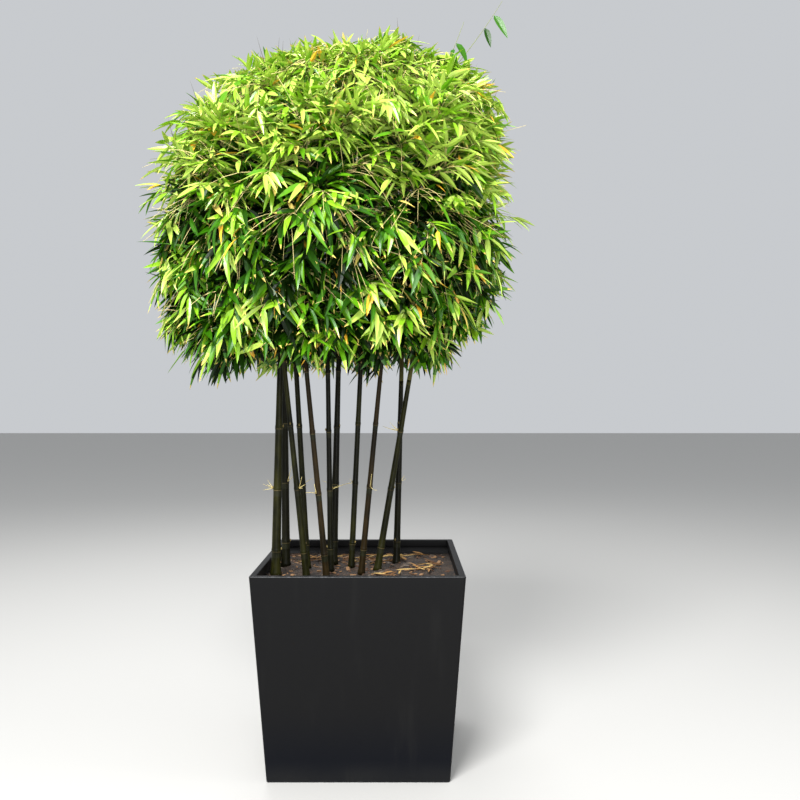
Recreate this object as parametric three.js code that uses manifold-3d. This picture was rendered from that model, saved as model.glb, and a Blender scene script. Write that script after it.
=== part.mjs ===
// A clump of slender bamboo in a square tapered planter, 2.9 m tall.
// Millimetres, +Z up. The origin is the middle of the planter's underside, on the ground; -Y is the front.
// Eleven culms stand in the soil and run up into a dense, drooping dome. Each carries one mass of foliage.
import * as THREE from "three";
import { mergeVertices } from "three/addons/utils/BufferGeometryUtils.js";
import Module from "manifold-3d";

const wasm = await Module();
wasm.setup();

// Planter: a thin moulded shell with a turned-in rim.
const POT_TOP = 762;
const POT_FOOT = 656;
const POT_HEIGHT = 745;
const POT_WALL = 12;
const POT_FLOOR = 25;
const RIM_WIDTH = 24;
const RIM_DEPTH = 30;
const OVERCUT = 1;

// Potting soil fills the planter to a little below its rim.
const SOIL_TOP = 690;
const SOIL_CLEARANCE = 0.5;
const SEAT_GAP = 0.3;

// Crown: a dome, widest at its waist, with a hanging hem and a hollow underside.
const CROWN_TOP = 2700;
const CROWN_WAIST = 1910;
const CROWN_HEM = 1420;
const CROWN_UNDERSIDE = 1590;
const CROWN_HALF_WIDTH = 705;
const CROWN_HALF_DEPTH = 640;
const CROWN_X = -130;
const CROWN_Y = -60;
const CROWN_LEAN = 140;
const LEAN_START = 2100;
const HEM_TUCK = 0.26;
const HEM_SHIFT = 70;
const HOLLOW_SHARE = 0.7;
const DOME_POWER = 3.4;
const LOBES = [{ count: 3, depth: 0.035, pitch: 260 }, { count: 7, depth: 0.025, pitch: -170 }];

// Space kept between one mass and the next, and between foliage and another culm.
const MASS_GAP = 14;
const LIMB_GAP = 7;

// Twigs and leaves. A leaf here is about twice life size and stands for two or three.
const TWIG_COUNT = 180;
const TWIG_REACH = 0.86;
const TOP_GAP = 8;
const TOP_WEIGHT = 0.1;
const HEM_ROOM = 170;
const PROFILE_STEP = 20;
const HEM_SHARES = { first: 0.68, last: 0.35, step: 0.03 };
const TWIG_FOOT_RADIUS = 4.5;
const TWIG_TIP_RADIUS = 2.6;
const TWIG_STEPS = 2;
const TWIG_BENDS = [[0.24, 1], [0.12, 1], [0, 1], [-0.1, 1], [0.2, 0.88], [0.05, 0.88], [0.1, 0.75]];
const LEAVES_PER_TWIG = 4;
const LEAF_LENGTH = 270;
const LEAF_WIDTH = 58;
const LEAF_THICKNESS = 5;
const LEAF_BELLY = 0.36;
const LEAF_REACH = 1.08;
const LAST_LEAF = 0.985;
const LEAF_SPACING = 0.1;
const LEAF_SIZE = [0.82, 1.1];
const LEAF_SPREAD = [0.6, 1.15];
const LAST_LEAF_SPREAD = [-0.25, 0.25];
const LEAF_DROOP = 0.8;
const DROOP_RANGE = [0.5, 1.4];
const LEAF_ROLL = [-0.5, 0.5];
const LEAF_TRIES = 10;
const SHRINK_PER_TRY = 0.04;
const TWIG_NODE_SPACING = 150;
const FIRST_TWIG_NODE = 30;
const LAST_TWIG_NODE = 0.985;
const NODES_TRIED = 3;
const TWIG_SLOPE = 0.35;
const TWIG_DROP = 60;
const DROP_COST = 0.5;
const STEM_STEPS = 5;
const STEM_SIDES = 6;
const CORE_PLACE = 0.9;
const CORE_SHARE = 0.75;
const CORE_REACH = 360;
const CORE_STEP = 12;
const CORE_DETAIL = 1;
const SEED = 20261;

// Culms: foot and waist are places in plan, the waist at WAIST_HEIGHT. Above its shoulder each one arches out
// to its head, either in the ring round the crown's waist or under its top.
const WAIST_HEIGHT = 1440;
const SHOULDER_HEIGHT = 1750;
const CULM_TIP_RADIUS = 4;
const CULM_SIDES = 8;
const CULM_TAPER = 1.3;
const LINE_STEPS = 48;
const ENTRY_STEPS = 400;
const FLARE = 0.35;
const FLARE_PARTS = [1, 0.35, 0];
const FLARE_HEIGHT = 60;
const RIDGE = 1.6;
const RIDGE_HALF_LENGTH = 7;
const FIRST_NODE = 95;
const INTERNODE = 235;
const RING = { share: 0.6, z: 2020, arch: 100 };
const TOP = { share: 0.26, z: 2530, arch: 0 };
const CULMS = [
  { name: "left", foot: [-327, -110], waist: [-310, -115], radius: 18, turn: 180, head: RING },
  { name: "back_left", foot: [-312, 62], waist: [-321, 85], radius: 17, turn: 135, head: RING },
  { name: "front_left", foot: [-204, -150], waist: [-278, -190], radius: 12.5, turn: 225, head: RING },
  { name: "top_left", foot: [-220, 20], waist: [-263, 20], radius: 12.5, turn: 150, head: TOP },
  { name: "front", foot: [-126, -170], waist: [-194, -215], radius: 12, turn: 270, head: RING },
  { name: "top_front", foot: [-121, -50], waist: [-132, -50], radius: 11.5, turn: 270, head: TOP },
  { name: "back", foot: [-124, 110], waist: [-108, 150], radius: 16, turn: 90, head: RING },
  { name: "top_right", foot: [-46, 30], waist: [-11, 30], radius: 12, turn: 30, head: TOP },
  { name: "front_right", foot: [-1, -90], waist: [72, -120], radius: 12, turn: 315, head: RING },
  { name: "back_right", foot: [134, 90], waist: [154, 130], radius: 14, turn: 45, head: RING },
  { name: "right", foot: [59, -20], waist: [185, -10], radius: 13.5, turn: 0, head: RING },
];

// A long whip of new growth that bends up out of the crown's right shoulder and ends in a furled leaf.
const WHIP = { from: "top_right", start: 0.97, tip: [552, -20, 2935], radius: 3.2, arch: -0.16, steps: 12 };
const WHIP_LEAVES = [
  { place: 0.84, length: 85, width: 26, drop: 1.9 },
  { place: 0.92, length: 113, width: 32, drop: 1.05 },
];

const UP = new THREE.Vector3(0, 0, 1);
const material = (color, roughness) => new THREE.MeshStandardMaterial({ color, roughness, metalness: 0 });
const potBlack = material(0x1e1f22, 0.55);
const soilBrown = material(0x2e2118, 0.95);
const culmOlive = material(0x3a3a1c, 0.5);
const leafGreen = material(0x5f9a2b, 0.5);

// Random numbers from a seed, the same on every run.
function generator(seed) {
  let state = seed >>> 0;
  return (low = 0, high = 1) => {
    state = (Math.imul(state, 1664525) + 1013904223) >>> 0;
    return low + ((high - low) * state) / 4294967296;
  };
}

const smoothstep = (x) => THREE.MathUtils.smoothstep(x, 0, 1);
const radians = THREE.MathUtils.degToRad;

// A closed geometry as a solid, and a solid as a geometry.
function toSolid(geometry) {
  const bare = geometry.index ? geometry.toNonIndexed() : geometry.clone();
  bare.deleteAttribute("normal");
  bare.deleteAttribute("uv");
  const merged = mergeVertices(bare, 1e-4);
  return new wasm.Manifold(
    new wasm.Mesh({
      numProp: 3,
      vertProperties: new Float32Array(merged.attributes.position.array),
      triVerts: new Uint32Array(merged.index.array),
    }),
  );
}

function toGeometry(solid) {
  const mesh = solid.getMesh();
  const geometry = new THREE.BufferGeometry();
  geometry.setAttribute("position", new THREE.BufferAttribute(new Float32Array(mesh.vertProperties), 3));
  geometry.setIndex(new THREE.BufferAttribute(new Uint32Array(mesh.triVerts), 1));
  geometry.computeVertexNormals();
  return geometry;
}

// Solids fused two by two until one is left.
function joined(solids) {
  if (solids.length === 1) return solids[0];
  const half = Math.ceil(solids.length / 2);
  return joined(solids.slice(0, half)).add(joined(solids.slice(half)));
}

// The largest body of a solid, without any scrap that came loose.
function mainBody(solid) {
  return solid.decompose().sort((a, b) => b.volume() - a.volume())[0];
}

// A round limb through rings of {at, along, radius}: a cylinder whose rows are moved onto the rings.
function limb(rings, sides) {
  const rows = rings.length - 1;
  const geometry = new THREE.CylinderGeometry(1, 1, 1, sides, rows);
  const along = rings.map((ring) => ring.along.clone().normalize());
  const start = new THREE.Vector3(1, 0, 0);
  if (Math.abs(start.dot(along[0])) > 0.9) start.set(0, 1, 0);
  const across = [start.addScaledVector(along[0], -start.dot(along[0])).normalize()];
  for (let j = 1; j <= rows; j += 1) {
    const carried = across[j - 1].clone();
    across.push(carried.addScaledVector(along[j], -carried.dot(along[j])).normalize());
  }
  const position = geometry.attributes.position;
  for (let i = 0; i < position.count; i += 1) {
    const j = Math.round((position.getY(i) + 0.5) * rows);
    const third = along[j].clone().cross(across[j]);
    const place = rings[j].at
      .clone()
      .addScaledVector(across[j], position.getZ(i) * rings[j].radius)
      .addScaledVector(third, position.getX(i) * rings[j].radius);
    position.setXYZ(i, place.x, place.y, place.z);
  }
  return geometry;
}

// A square frustum standing on z = 0, from its half sides.
function squareFrustum(halfFoot, halfTop, height) {
  const geometry = new THREE.CylinderGeometry(halfTop * Math.SQRT2, halfFoot * Math.SQRT2, height, 4);
  return geometry.rotateY(Math.PI / 4).rotateX(Math.PI / 2).translate(0, 0, height / 2);
}

// Half the planter's outer side at a height.
const potHalf = (z) => THREE.MathUtils.lerp(POT_FOOT, POT_TOP, z / POT_HEIGHT) / 2;

function pot() {
  const shell = toSolid(squareFrustum(potHalf(0), potHalf(POT_HEIGHT), POT_HEIGHT));
  const underRim = POT_HEIGHT - RIM_DEPTH;
  const hollow = squareFrustum(
    potHalf(POT_FLOOR) - POT_WALL,
    potHalf(underRim) - POT_WALL,
    underRim - POT_FLOOR,
  ).translate(0, 0, POT_FLOOR);
  const mouthHalf = POT_TOP / 2 - RIM_WIDTH;
  const mouth = squareFrustum(mouthHalf, mouthHalf, RIM_DEPTH + 2 * OVERCUT);
  mouth.translate(0, 0, underRim - OVERCUT);
  return toGeometry(shell.subtract(toSolid(hollow)).subtract(toSolid(mouth)));
}

function soil() {
  const foot = POT_FLOOR + SEAT_GAP;
  const half = (z) => potHalf(z) - POT_WALL - SOIL_CLEARANCE;
  return squareFrustum(half(foot), half(SOIL_TOP), SOIL_TOP - foot).translate(0, 0, foot);
}

// The crown's middle line in plan, which leans to the right towards the top and to the left at the hem.
function crownAxis(z) {
  const lean = CROWN_LEAN * smoothstep((z - LEAN_START) / (CROWN_TOP - LEAN_START));
  const below = Math.max(0, (CROWN_WAIST - z) / (CROWN_WAIST - CROWN_HEM));
  return [CROWN_X + lean - HEM_SHIFT * below ** 2, CROWN_Y];
}

// The crown's width at a height, as a share of its greatest width.
function crownShare(z) {
  if (z < CROWN_WAIST) return 1 - HEM_TUCK * ((CROWN_WAIST - z) / (CROWN_WAIST - CROWN_HEM)) ** 2;
  const rise = (z - CROWN_WAIST) / (CROWN_TOP - CROWN_WAIST);
  return Math.sqrt(Math.max(0, 1 - rise ** DOME_POWER));
}

// Shallow lobes that make the outline uneven.
const lobes = (turn, z) =>
  LOBES.reduce((sum, { count, depth, pitch }) => sum + depth * Math.sin(count * turn + z / pitch), 1);

// Height of the foliage's underside at a share of the crown's width: it comes down to the hem all round.
function underside(share) {
  const down = Math.min(1, share / HOLLOW_SHARE) ** 2;
  return THREE.MathUtils.lerp(CROWN_UNDERSIDE, CROWN_HEM, down);
}

// How much of the crown's width a point uses: 1 is on its surface.
function crownUse(point) {
  const [x, y] = crownAxis(point.z);
  const across = (point.x - x) / CROWN_HALF_WIDTH;
  const deep = (point.y - y) / CROWN_HALF_DEPTH;
  const width = crownShare(point.z) * lobes(Math.atan2(deep, across), point.z);
  return Math.hypot(across, deep) / Math.max(width, 1e-3);
}

function inCrown(point, share = 1) {
  if (point.z > CROWN_TOP || point.z < CROWN_HEM) return false;
  const use = crownUse(point);
  return use < share && point.z > underside(use);
}

function crownPoint(turn, z, share) {
  const [x, y] = crownAxis(z);
  const reach = share * lobes(turn, z);
  return new THREE.Vector3(
    x + reach * CROWN_HALF_WIDTH * Math.cos(turn),
    y + reach * CROWN_HALF_DEPTH * Math.sin(turn),
    z,
  );
}

// A culm's centre line: from foot to waist and shoulder in one lean, then over to its head.
function culmLine({ foot, waist, turn, head }) {
  const lean = (z) => {
    const rise = (z - SOIL_TOP) / (WAIST_HEIGHT - SOIL_TOP);
    return new THREE.Vector3(...foot.map((place, i) => THREE.MathUtils.lerp(place, waist[i], rise)), z);
  };
  const shoulder = lean(SHOULDER_HEIGHT);
  const end = crownPoint(radians(turn), head.z, head.share);
  const arch = shoulder.clone().lerp(end, 0.5);
  arch.z += head.arch;
  const points = [lean(SOIL_TOP + SEAT_GAP), lean(WAIST_HEIGHT), shoulder, arch, end];
  return new THREE.CatmullRomCurve3(points, false, "catmullrom", 0.5);
}

const limbs = CULMS.map((culm) => {
  const line = culmLine(culm);
  return { ...culm, line, path: line.getSpacedPoints(LINE_STEPS), length: line.getLength() };
});

const radiusAt = (culm, t) => THREE.MathUtils.lerp(culm.radius, CULM_TIP_RADIUS, t ** CULM_TAPER);

const segment = new THREE.Line3();
const nearest = new THREE.Vector3();
// How far a point is from a culm's surface.
function distanceTo(culm, point) {
  let least = Infinity;
  for (let i = 0; i < LINE_STEPS; i += 1) {
    segment.set(culm.path[i], culm.path[i + 1]).closestPointToPoint(point, true, nearest);
    least = Math.min(least, nearest.distanceTo(point) - radiusAt(culm, i / LINE_STEPS));
  }
  return least;
}

function nearestCulm(point) {
  const distances = limbs.map((culm) => distanceTo(culm, point));
  return limbs[distances.indexOf(Math.min(...distances))];
}

// The space of a culm's foliage is all that lies nearer to it than to any other culm.
function inSpace(point, culm, radius = 0) {
  const own = distanceTo(culm, point);
  return limbs.every((other) => {
    if (other === culm) return true;
    const away = distanceTo(other, point);
    return away > own + MASS_GAP + 2 * radius && away > radius + LIMB_GAP;
  });
}

// Where a culm enters the crown. Its own solid ends there, and the stem of its foliage goes on.
for (const culm of limbs) {
  let i = 0;
  while (!inCrown(culm.line.getPointAt(i / ENTRY_STEPS))) i += 1;
  culm.entry = i / ENTRY_STEPS;
}

// A ring of a culm at a share of its length, swollen by a little at its foot and nodes.
function culmRing(culm, t, swell = 0) {
  const along = t === 0 ? UP : culm.line.getTangentAt(t);
  return { at: culm.line.getPointAt(t), along, radius: radiusAt(culm, t) + swell };
}

// A culm from its flared foot, cut flat at the soil, to where it enters the crown. Each node has a ridge.
function culmSolid(culm) {
  const rings = FLARE_PARTS.map((part, i) =>
    culmRing(culm, (i * FLARE_HEIGHT) / 2 / culm.length, part * FLARE * culm.radius),
  );
  const half = RIDGE_HALF_LENGTH;
  for (let reach = FIRST_NODE; reach < culm.entry * culm.length - 2 * half; reach += INTERNODE) {
    for (const [step, swell] of [[-half, 0], [0, RIDGE], [half, 0]]) {
      rings.push(culmRing(culm, (reach + step) / culm.length, swell));
    }
  }
  rings.push(culmRing(culm, culm.entry));
  return limb(rings, CULM_SIDES);
}

// A twig is a bent three-sided taper from a node on the stem to a place on the crown's surface.
function twig(start, arch, tip, footRadius = TWIG_FOOT_RADIUS, steps = TWIG_STEPS) {
  const bend = start.clone().lerp(tip, 0.5);
  bend.z += arch * start.distanceTo(tip);
  const line = new THREE.QuadraticBezierCurve3(start, bend, tip);
  const rings = [];
  for (let j = 0; j <= steps; j += 1) {
    const t = j / steps;
    const radius = THREE.MathUtils.lerp(footRadius, TWIG_TIP_RADIUS, t);
    rings.push({ at: line.getPoint(t), along: line.getTangent(t), radius });
  }
  return { line, solid: () => toSolid(limb(rings, 3)) };
}

// A leaf is an eight-faced blade, broadest near its root.
function leaf(root, along, across, length, width) {
  const blade = new THREE.OctahedronGeometry(1);
  const position = blade.attributes.position;
  for (let i = 0; i < position.count; i += 1) {
    const x = position.getX(i);
    const belly = Math.abs(x) < 0.5 ? LEAF_BELLY * 2 - 1 : x;
    const [y, z] = [(position.getY(i) * width) / 2, (position.getZ(i) * LEAF_THICKNESS) / 2];
    position.setXYZ(i, ((belly + 1) / 2) * length, y, z);
  }
  const flat = along.clone().cross(across);
  blade.applyMatrix4(new THREE.Matrix4().makeBasis(along, across, flat).setPosition(root));
  return toSolid(blade);
}

// Whether a leaf stays in the crown, in its own space and off the other culms.
function leafFits(culm, root, along, across, length, width) {
  const shares = [0.2, LEAF_BELLY, 0.6, 0.8, 1];
  return shares.every((share) => {
    const half = (width / 2) * Math.min(share / LEAF_BELLY, (1 - share) / (1 - LEAF_BELLY));
    const middle = root.clone().addScaledVector(along, share * length);
    const sides = [-half, half].map((reach) => middle.clone().addScaledVector(across, reach));
    return sides.every((point) => inCrown(point, LEAF_REACH) && inSpace(point, culm));
  });
}

// Places spread evenly over the crown's surface and round under its hem, by height and share of width.
function surfaceProfile() {
  const outer = [];
  for (let z = CROWN_TOP - TOP_GAP; z > CROWN_HEM + HEM_ROOM; z -= PROFILE_STEP) {
    outer.push({ z, share: crownShare(z) });
  }
  const inner = [];
  for (let share = HEM_SHARES.first; share > HEM_SHARES.last; share -= HEM_SHARES.step) {
    inner.push({ z: underside(share) + HEM_ROOM, share });
  }
  return [...outer, ...inner];
}

function surfacePlaces(count) {
  const profile = surfaceProfile();
  const sums = [0];
  for (let i = 1; i < profile.length; i += 1) {
    const [a, b] = [profile[i - 1], profile[i]];
    const slant = Math.hypot(b.z - a.z, (b.share - a.share) * CROWN_HALF_WIDTH);
    sums.push(sums[i - 1] + slant * (a.share + b.share + TOP_WEIGHT));
  }
  const golden = Math.PI * (3 - Math.sqrt(5));
  const places = [];
  for (let k = 0; k < count; k += 1) {
    const wanted = ((k + 0.5) / count) * sums[sums.length - 1];
    const i = sums.findIndex((sum) => sum >= wanted);
    const part = (wanted - sums[i - 1]) / (sums[i] - sums[i - 1]);
    const z = THREE.MathUtils.lerp(profile[i - 1].z, profile[i].z, part);
    const share = THREE.MathUtils.lerp(profile[i - 1].share, profile[i].share, part);
    places.push(crownPoint(k * golden, z, share * TWIG_REACH));
  }
  return places;
}

// Nodes of the stem inside its foliage, from which the twigs start.
function stemNodes(culm) {
  const first = culm.entry + FIRST_TWIG_NODE / culm.length;
  const count = Math.max(2, Math.round(((1 - first) * culm.length) / TWIG_NODE_SPACING));
  const share = (i) => THREE.MathUtils.lerp(first, LAST_TWIG_NODE, i / (count - 1));
  return Array.from({ length: count }, (_, i) => culm.line.getPointAt(share(i)));
}

// The stem's nodes in the order that suits a place: near it, and a little below it where it is far out.
function nodesFor(place, nodes) {
  const cost = (at) => {
    const flat = Math.hypot(place.x - at.x, place.y - at.y);
    return at.distanceTo(place) + DROP_COST * Math.abs(at.z - place.z + TWIG_SLOPE * flat - TWIG_DROP);
  };
  return [...nodes].sort((a, b) => cost(a) - cost(b));
}

function twigFits(culm, line) {
  return [0.25, 0.5, 0.75, 1].every((t) => {
    const point = line.getPoint(t);
    return inCrown(point) && inSpace(point, culm, TWIG_FOOT_RADIUS);
  });
}

// Leaves alternate along the outer part of a twig and one ends it.
function leavesOn(culm, line, draw) {
  const made = [];
  for (let k = 0; k < LEAVES_PER_TWIG; k += 1) {
    const side = k % 2 ? 1 : -1;
    const t = k === 0 ? LAST_LEAF : 1 - LEAF_SPACING * k;
    const root = line.getPoint(t);
    const ahead = line.getTangent(t);
    const level = ahead.clone().cross(UP).normalize();
    for (let attempt = 0; attempt < LEAF_TRIES; attempt += 1) {
      const spread = k === 0 ? draw(...LAST_LEAF_SPREAD) : side * draw(...LEAF_SPREAD);
      const size = draw(...LEAF_SIZE) * (1 - SHRINK_PER_TRY * attempt);
      const along = ahead
        .clone()
        .multiplyScalar(Math.cos(spread))
        .addScaledVector(level, Math.sin(spread))
        .addScaledVector(UP, -LEAF_DROOP * draw(...DROOP_RANGE))
        .normalize();
      const across = along.clone().cross(UP).normalize().applyAxisAngle(along, draw(...LEAF_ROLL));
      const [length, width] = [LEAF_LENGTH * size, LEAF_WIDTH * size];
      if (!leafFits(culm, root, along, across, length, width)) continue;
      made.push(leaf(root, along, across, length, width));
      break;
    }
  }
  return made;
}

// The dense heart of a mass: a lumpy ball about the outer stem, well inside the crown and its own space.
function core(culm) {
  const round = new THREE.IcosahedronGeometry(1, CORE_DETAIL);
  const ball = mergeVertices(round.deleteAttribute("normal").deleteAttribute("uv"));
  const middle = culm.line.getPointAt(CORE_PLACE);
  const position = ball.attributes.position;
  const direction = new THREE.Vector3();
  for (let i = 0; i < position.count; i += 1) {
    direction.fromBufferAttribute(position, i).normalize();
    let reach = CORE_STEP;
    while (reach < CORE_REACH) {
      const point = middle.clone().addScaledVector(direction, reach + CORE_STEP);
      if (!(inCrown(point, CORE_SHARE) && inSpace(point, culm, CORE_STEP))) break;
      reach += CORE_STEP;
    }
    position.setXYZ(i, ...middle.clone().addScaledVector(direction, reach).toArray());
  }
  return toSolid(ball);
}

// The stem of a mass, which goes on from the culm's own tip.
function stem(culm) {
  const from = culm.entry + SEAT_GAP / culm.length;
  const ring = (j) => culmRing(culm, THREE.MathUtils.lerp(from, 1, j / STEM_STEPS));
  return toSolid(limb(Array.from({ length: STEM_STEPS + 1 }, (_, j) => ring(j)), STEM_SIDES));
}

// The whip: a thin bent shoot with two leaves hanging from it.
function whip(culm) {
  const start = culm.line.getPointAt(WHIP.start);
  const shoot = twig(start, WHIP.arch, new THREE.Vector3(...WHIP.tip), WHIP.radius, WHIP.steps);
  const hanging = WHIP_LEAVES.map(({ place: t, length, width, drop }) => {
    const along = shoot.line.getTangent(t).setZ(-drop).normalize();
    const across = new THREE.Vector3(0, 1, 0).cross(along).normalize();
    return leaf(shoot.line.getPoint(t), along, across, length, width);
  });
  return [shoot.solid(), ...hanging];
}

// One mass: the stem, its core, and a leafy twig to each of its places that one can reach.
function foliage(culm, places, draw) {
  const pieces = [stem(culm), core(culm)];
  const nodes = stemNodes(culm);
  for (const place of places) {
    const bent = (node) =>
      TWIG_BENDS.map(([arch, reach]) => twig(node, arch, node.clone().lerp(place, reach)));
    const tries = nodesFor(place, nodes).slice(0, NODES_TRIED).flatMap(bent);
    const grown = tries.find(({ line }) => twigFits(culm, line));
    if (!grown) continue;
    const leaves = leavesOn(culm, grown.line, draw);
    if (leaves.length) pieces.push(grown.solid(), ...leaves);
  }
  if (culm.name === WHIP.from) pieces.push(...whip(culm));
  return toGeometry(mainBody(joined(pieces)));
}

const plant = new THREE.Group();
plant.name = "potted_bamboo";

function place(name, geometry, finish) {
  const mesh = new THREE.Mesh(geometry, finish);
  mesh.name = name;
  plant.add(mesh);
}

place("pot", pot(), potBlack);
place("soil", soil(), soilBrown);
for (const culm of limbs) {
  place(`culm_${culm.name}`, culmSolid(culm), culmOlive);
}

const draw = generator(SEED);
const places = surfacePlaces(TWIG_COUNT);
for (const culm of limbs) {
  const own = places.filter((point) => nearestCulm(point) === culm);
  place(`foliage_${culm.name}`, foliage(culm, own, draw), leafGreen);
}

export default plant;
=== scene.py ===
import math

import bpy
import mathutils
import numpy as np
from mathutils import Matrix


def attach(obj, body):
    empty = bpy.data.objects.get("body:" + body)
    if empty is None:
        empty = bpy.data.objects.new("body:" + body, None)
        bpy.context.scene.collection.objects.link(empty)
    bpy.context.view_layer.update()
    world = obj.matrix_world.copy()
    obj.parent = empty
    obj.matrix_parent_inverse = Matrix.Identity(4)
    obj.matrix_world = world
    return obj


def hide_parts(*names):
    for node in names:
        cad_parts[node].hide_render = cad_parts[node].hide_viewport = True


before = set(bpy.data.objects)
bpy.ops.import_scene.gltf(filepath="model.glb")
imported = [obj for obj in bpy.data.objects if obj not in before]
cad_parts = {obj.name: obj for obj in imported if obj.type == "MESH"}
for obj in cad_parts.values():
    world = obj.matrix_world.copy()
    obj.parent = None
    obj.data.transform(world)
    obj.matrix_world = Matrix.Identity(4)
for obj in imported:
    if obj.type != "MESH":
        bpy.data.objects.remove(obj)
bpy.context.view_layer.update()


# Camera
# The viewer stands about three metres in front of the planter, a little to its right, and looks level at the
# whole plant.
CAMERA_PLACE = (0.149, -3.2, 1.363)
CAMERA_LENS = 36.3
camera = bpy.data.objects.new("camera", bpy.data.cameras.new("camera"))
camera.data.sensor_width = 36.0
camera.data.lens = CAMERA_LENS
camera.location = CAMERA_PLACE
camera.rotation_euler = (math.pi / 2, 0.0, 0.0)
bpy.context.collection.objects.link(camera)
bpy.context.scene.camera = camera


# Floor
# A pale, smooth studio floor that runs far out on all sides. It isn't part of the plant.
def tone(red, green, blue):
    """A colour as it looks on a screen, from 0 to 255, as the light that it sends back."""
    shares = (red / 255, green / 255, blue / 255)
    return tuple(c / 12.92 if c < 0.039 else ((c + 0.055) / 1.055) ** 2.4 for c in shares)


class Signal:
    """A value that changes over a surface. Sums and products of signals add their own nodes."""

    def __init__(self, finish, socket):
        self.finish = finish
        self.socket = socket

    def _math(self, operation, first, second):
        return self.finish.node("Math", {"operation": operation}, {0: first, 1: second})

    def __add__(self, other):
        return self._math("ADD", self, other)

    def __radd__(self, other):
        return self._math("ADD", other, self)

    def __sub__(self, other):
        return self._math("SUBTRACT", self, other)

    def __rsub__(self, other):
        return self._math("SUBTRACT", other, self)

    def __mul__(self, other):
        return self._math("MULTIPLY", self, other)

    def __rmul__(self, other):
        return self._math("MULTIPLY", other, self)

    def between(self, low, high):
        """0 where the signal is below low, 1 above high, and a smooth step from one to the other."""
        limits = {"Value": self, "From Min": low, "From Max": high}
        return self.finish.node("MapRange", {"interpolation_type": "SMOOTHSTEP"}, limits)


class Finish:
    """One finish: a Principled shader with plain values, and signals where it is uneven."""

    def __init__(self, name, colour, roughness, specular=0.5):
        self.material = bpy.data.materials.new(name)
        self.material.use_nodes = True
        self.tree = self.material.node_tree
        self.shader = self.tree.nodes["Principled BSDF"]
        self.set("Base Color", colour)
        self.set("Roughness", roughness)
        self.set("Specular IOR Level", specular)
        self.material.diffuse_color = (*colour, 1.0)

    def feed(self, socket, value):
        """Links a signal to a socket, or sets the socket to a plain value."""
        if isinstance(value, Signal):
            self.tree.links.new(value.socket, socket)
        elif socket.type == "RGBA":
            socket.default_value = (*value, 1.0)
        else:
            socket.default_value = value

    def set(self, name, value):
        self.feed(self.shader.inputs[name], value)

    def node(self, kind, settings=None, inputs=None, output=0):
        """Adds a node of a kind with its settings and inputs, and gives one of its outputs as a signal."""
        node = self.tree.nodes.new("ShaderNode" + kind)
        for setting, value in (settings or {}).items():
            setattr(node, setting, value)
        for name, value in (inputs or {}).items():
            self.feed(node.inputs[name], value)
        return Signal(self, node.outputs[output])

    def grain(self, scale, detail=3.0, stretch=(1.0, 1.0, 1.0)):
        """Cloudy noise in the piece's own space, from 0 to 1, drawn out along an axis by stretch."""
        place = self.node("TexCoord", output="Object")
        place = self.node("VectorMath", {"operation": "MULTIPLY"}, {0: place, 1: stretch})
        return self.node("TexNoise", None, {"Vector": place, "Scale": scale, "Detail": detail})

    def height(self):
        """How high a point is above the ground, in metres."""
        place = self.node("TexCoord", output="Object")
        return self.node("SeparateXYZ", None, {"Vector": place}, "Z")

    def blend(self, mask, first, second):
        """From the first colour where the mask is 0 to the second where it is 1."""
        return self.node("Mix", {"data_type": "RGBA"}, {0: mask, 6: first, 7: second}, 2)

    def relief(self, height, depth, strength=1.0):
        """Bumps of a depth in metres where the height signal is 1."""
        bump = self.node("Bump", None, {"Height": height, "Distance": depth, "Strength": strength})
        self.set("Normal", bump)


def add_object(mesh):
    thing = bpy.data.objects.new(mesh.name, mesh)
    bpy.context.collection.objects.link(thing)
    return thing


FLOOR_REACH = 30.0
SQUARE_CORNERS = ((-1, -1), (1, -1), (1, 1), (-1, 1))
floor_mesh = bpy.data.meshes.new("studio_floor")
floor_mesh.from_pydata([(x * FLOOR_REACH, y * FLOOR_REACH, 0.0) for x, y in SQUARE_CORNERS], [], [range(4)])
floor_mesh.materials.append(Finish("studio_floor", tone(182, 181, 178), 0.75).material)
add_object(floor_mesh)


# Light
# Soft, wide light from above and in front, like a bright overcast sky. A weaker lamp stands in front at eye
# level, one on the right and one behind.
SKY_COLOUR = (0.93, 0.96, 1.0, 1.0)
SKY_STRENGTH = 0.62
# Name, place, the point that it aims at, width in metres, power in watts.
SOFT_LIGHTS = [
    ("key", (-1.5, -4.6, 6.0), (-0.1, -0.1, 1.8), 2.4, 870.0),
    ("front", (0.5, -4.9, 1.9), (-0.1, 0.0, 1.5), 2.2, 110.0),
    ("right", (4.2, -0.6, 3.2), (0.0, 0.0, 1.8), 2.4, 60.0),
    ("behind", (-1.0, 3.6, 5.4), (-0.1, 0.0, 2.0), 2.6, 160.0),
]
sky = bpy.data.worlds.new("studio_sky")
sky.use_nodes = True
sky.node_tree.nodes["Background"].inputs["Color"].default_value = SKY_COLOUR
sky.node_tree.nodes["Background"].inputs["Strength"].default_value = SKY_STRENGTH
bpy.context.scene.world = sky
for light_name, light_place, light_target, light_size, light_power in SOFT_LIGHTS:
    lamp = bpy.data.lights.new(light_name, "AREA")
    lamp.size = light_size
    lamp.energy = light_power
    lamp_object = bpy.data.objects.new(light_name, lamp)
    lamp_object.location = light_place
    aim = mathutils.Vector(light_target) - mathutils.Vector(light_place)
    lamp_object.rotation_euler = aim.to_track_quat("-Z", "Y").to_euler()
    bpy.context.collection.objects.link(lamp_object)
bpy.context.scene.view_settings.view_transform = "Standard"


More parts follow.
